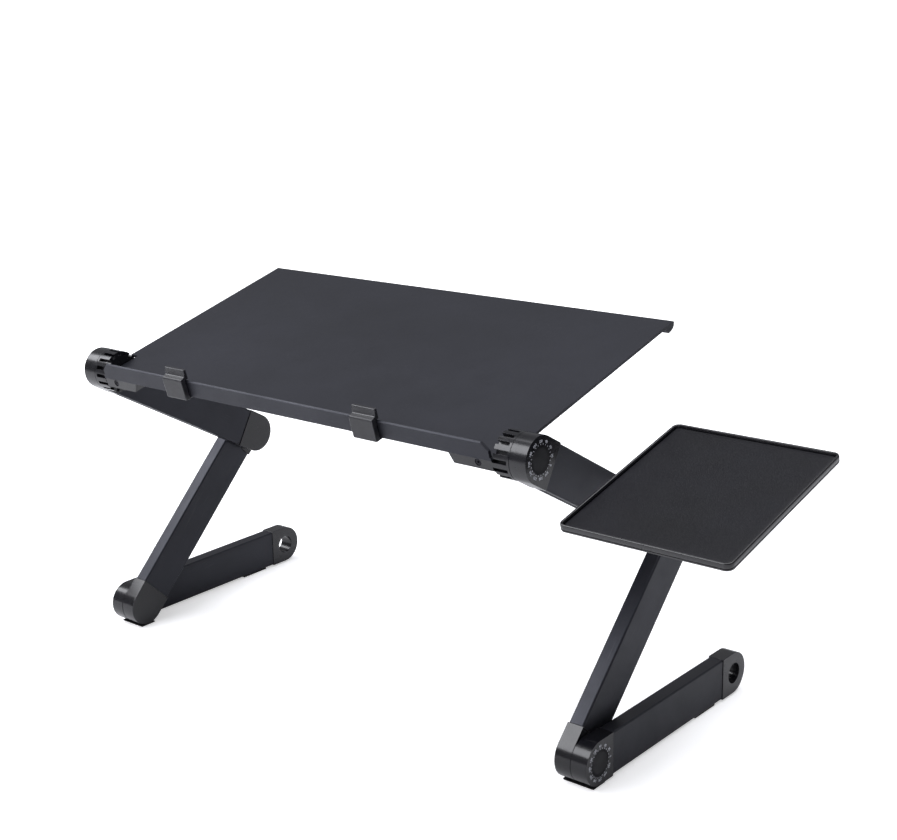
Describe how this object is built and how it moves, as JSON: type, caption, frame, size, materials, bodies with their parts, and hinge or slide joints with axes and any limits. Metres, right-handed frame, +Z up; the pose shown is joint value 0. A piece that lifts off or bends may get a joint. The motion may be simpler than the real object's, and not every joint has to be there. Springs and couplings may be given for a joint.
{
  "type": "laptop stand",
  "caption": "Folding laptop stand: a black aluminium top with a front lip and stop clips on two three-piece folding legs with lock joints, and a side mouse tray.",
  "frame": {"origin": "on the floor, under the middle of the whole object box", "axes": "+X to the right along the front lip, +Y to the back, +Z up"},
  "size_m": [0.738, 0.2984, 0.3434],
  "materials": {
    "anodised_sheet": "fine satin black anodised",
    "anodised_tube": "extruded, black anodised, satin",
    "moulded": "glossy black moulded nylon",
    "button": "fine matt texture",
    "steel": "zinc plated",
    "rubber": "matt black",
    "tray_shell": "satin black moulding",
    "tray_pad": "grained black surface"
  },
  "bodies": {
    "top": {"top_plate": "anodised_sheet", "left_hub_bracket": "moulded", "right_hub_bracket": "moulded", "left_bracket_screw": "steel", "right_bracket_screw": "steel"},
    "left_clip": {"left_stop_clip": "moulded"},
    "right_clip": {"right_stop_clip": "moulded"},
    "left_upper_leg": {"left_upper_tube": "anodised_tube", "left_upper_dial_cap": "moulded", "left_upper_knee_cap": "moulded", "left_top_pivot_screw": "steel", "left_top_lock_spring": "steel"},
    "left_middle_leg": {"left_middle_tube": "anodised_tube", "left_middle_dial_cap": "moulded", "left_middle_ankle_cap": "moulded", "left_knee_pivot_screw": "steel", "left_knee_lock_spring": "steel"},
    "left_foot": {"left_foot_tube": "anodised_tube", "left_foot_dial_cap": "moulded", "left_foot_eye_cap": "moulded", "left_ankle_pivot_screw": "steel", "left_ankle_lock_spring": "steel", "left_sole_pad": "rubber", "left_heel_pad": "rubber"},
    "left_top_button": {"left_top_push_button": "button", "left_top_lock_gear": "steel"},
    "left_knee_button": {"left_knee_push_button": "button", "left_knee_lock_gear": "steel"},
    "left_ankle_button": {"left_ankle_push_button": "button", "left_ankle_lock_gear": "steel"},
    "right_upper_leg": {"right_upper_tube": "anodised_tube", "right_upper_dial_cap": "moulded", "right_upper_knee_cap": "moulded", "right_top_pivot_screw": "steel", "right_top_lock_spring": "steel"},
    "right_middle_leg": {"right_middle_tube": "anodised_tube", "right_middle_dial_cap": "moulded", "right_middle_ankle_cap": "moulded", "right_knee_pivot_screw": "steel", "right_knee_lock_spring": "steel"},
    "right_foot": {"right_foot_tube": "anodised_tube", "right_foot_dial_cap": "moulded", "right_foot_eye_cap": "moulded", "right_ankle_pivot_screw": "steel", "right_ankle_lock_spring": "steel", "right_sole_pad": "rubber", "right_heel_pad": "rubber"},
    "right_top_button": {"right_top_push_button": "button", "right_top_lock_gear": "steel"},
    "right_knee_button": {"right_knee_push_button": "button", "right_knee_lock_gear": "steel"},
    "right_ankle_button": {"right_ankle_push_button": "button", "right_ankle_lock_gear": "steel"},
    "tray_clamp": {"tray_clamp_saddle": "moulded", "tray_clamp_keeper": "steel", "tray_hinge_pin": "steel"},
    "tray_screw": {"tray_thumb_screw": "moulded"},
    "tray": {"tray_shell": "tray_shell", "tray_mat": "tray_pad"}
  },
  "joints": [
    {"name": "left_clip_slide", "type": "slide", "parent": "top", "child": "left_clip", "axis": [1, 0, 0], "range_m": [-0.048, 0.1]},
    {"name": "right_clip_slide", "type": "slide", "parent": "top", "child": "right_clip", "axis": [1, 0, 0], "range_m": [-0.08, 0.066]},
    {"name": "left_top_hinge", "type": "hinge", "parent": "top", "child": "left_upper_leg", "pos_m": [-0.32145, -0.11718, 0.27811], "axis": [1, 0, 0], "continuous": true},
    {"name": "left_top_button_press", "type": "slide", "parent": "left_upper_leg", "child": "left_top_button", "axis": [1, 0, 0], "range_m": [0, 0.0045], "stiffness_N_per_m": 900, "springref_m": -0.004, "deforming": ["left_top_lock_spring"]},
    {"name": "left_knee_hinge", "type": "hinge", "parent": "left_upper_leg", "child": "left_middle_leg", "pos_m": [-0.33745, 0.06728, 0.17161], "axis": [1, 0, 0], "continuous": true},
    {"name": "left_knee_button_press", "type": "slide", "parent": "left_middle_leg", "child": "left_knee_button", "axis": [1, 0, 0], "range_m": [0, 0.0045], "stiffness_N_per_m": 900, "springref_m": -0.004, "deforming": ["left_knee_lock_spring"]},
    {"name": "left_ankle_hinge", "type": "hinge", "parent": "left_middle_leg", "child": "left_foot", "pos_m": [-0.35345, -0.08333, 0.021], "axis": [1, 0, 0], "range_deg": [-135, 45]},
    {"name": "left_ankle_button_press", "type": "slide", "parent": "left_foot", "child": "left_ankle_button", "axis": [1, 0, 0], "range_m": [0, 0.0045], "stiffness_N_per_m": 900, "springref_m": -0.004, "deforming": ["left_ankle_lock_spring"]},
    {"name": "right_top_hinge", "type": "hinge", "parent": "top", "child": "right_upper_leg", "pos_m": [0.17155, -0.11718, 0.27811], "axis": [1, 0, 0], "continuous": true},
    {"name": "right_top_button_press", "type": "slide", "parent": "right_upper_leg", "child": "right_top_button", "axis": [-1, 0, 0], "range_m": [0, 0.0045], "stiffness_N_per_m": 900, "springref_m": -0.004, "deforming": ["right_top_lock_spring"]},
    {"name": "right_knee_hinge", "type": "hinge", "parent": "right_upper_leg", "child": "right_middle_leg", "pos_m": [0.18755, 0.06728, 0.17161], "axis": [1, 0, 0], "range_deg": [-75, 135]},
    {"name": "right_knee_button_press", "type": "slide", "parent": "right_middle_leg", "child": "right_knee_button", "axis": [-1, 0, 0], "range_m": [0, 0.0045], "stiffness_N_per_m": 900, "springref_m": -0.004, "deforming": ["right_knee_lock_spring"]},
    {"name": "right_ankle_hinge", "type": "hinge", "parent": "right_middle_leg", "child": "right_foot", "pos_m": [0.20355, -0.08333, 0.021], "axis": [1, 0, 0], "range_deg": [-135, 45]},
    {"name": "right_ankle_button_press", "type": "slide", "parent": "right_foot", "child": "right_ankle_button", "axis": [-1, 0, 0], "range_m": [0, 0.0045], "stiffness_N_per_m": 900, "springref_m": -0.004, "deforming": ["right_ankle_lock_spring"]},
    {"name": "tray_clamp_slide", "type": "slide", "parent": "right_upper_leg", "child": "tray_clamp", "axis": [0, 0.866, -0.5], "range_m": [-0.09, 0.005]},
    {"name": "tray_tilt_hinge", "type": "hinge", "parent": "tray_clamp", "child": "tray", "pos_m": [0.29305, -0.00978, 0.25294], "axis": [1, 0, 0], "range_deg": [-55, 90]},
    {"name": "thumb_screw_turn", "type": "hinge", "parent": "tray_clamp", "child": "tray_screw", "pos_m": [0.1793, 0.04571, 0.23025], "axis": [0, 0.5, 0.866], "continuous": true}
  ]
}
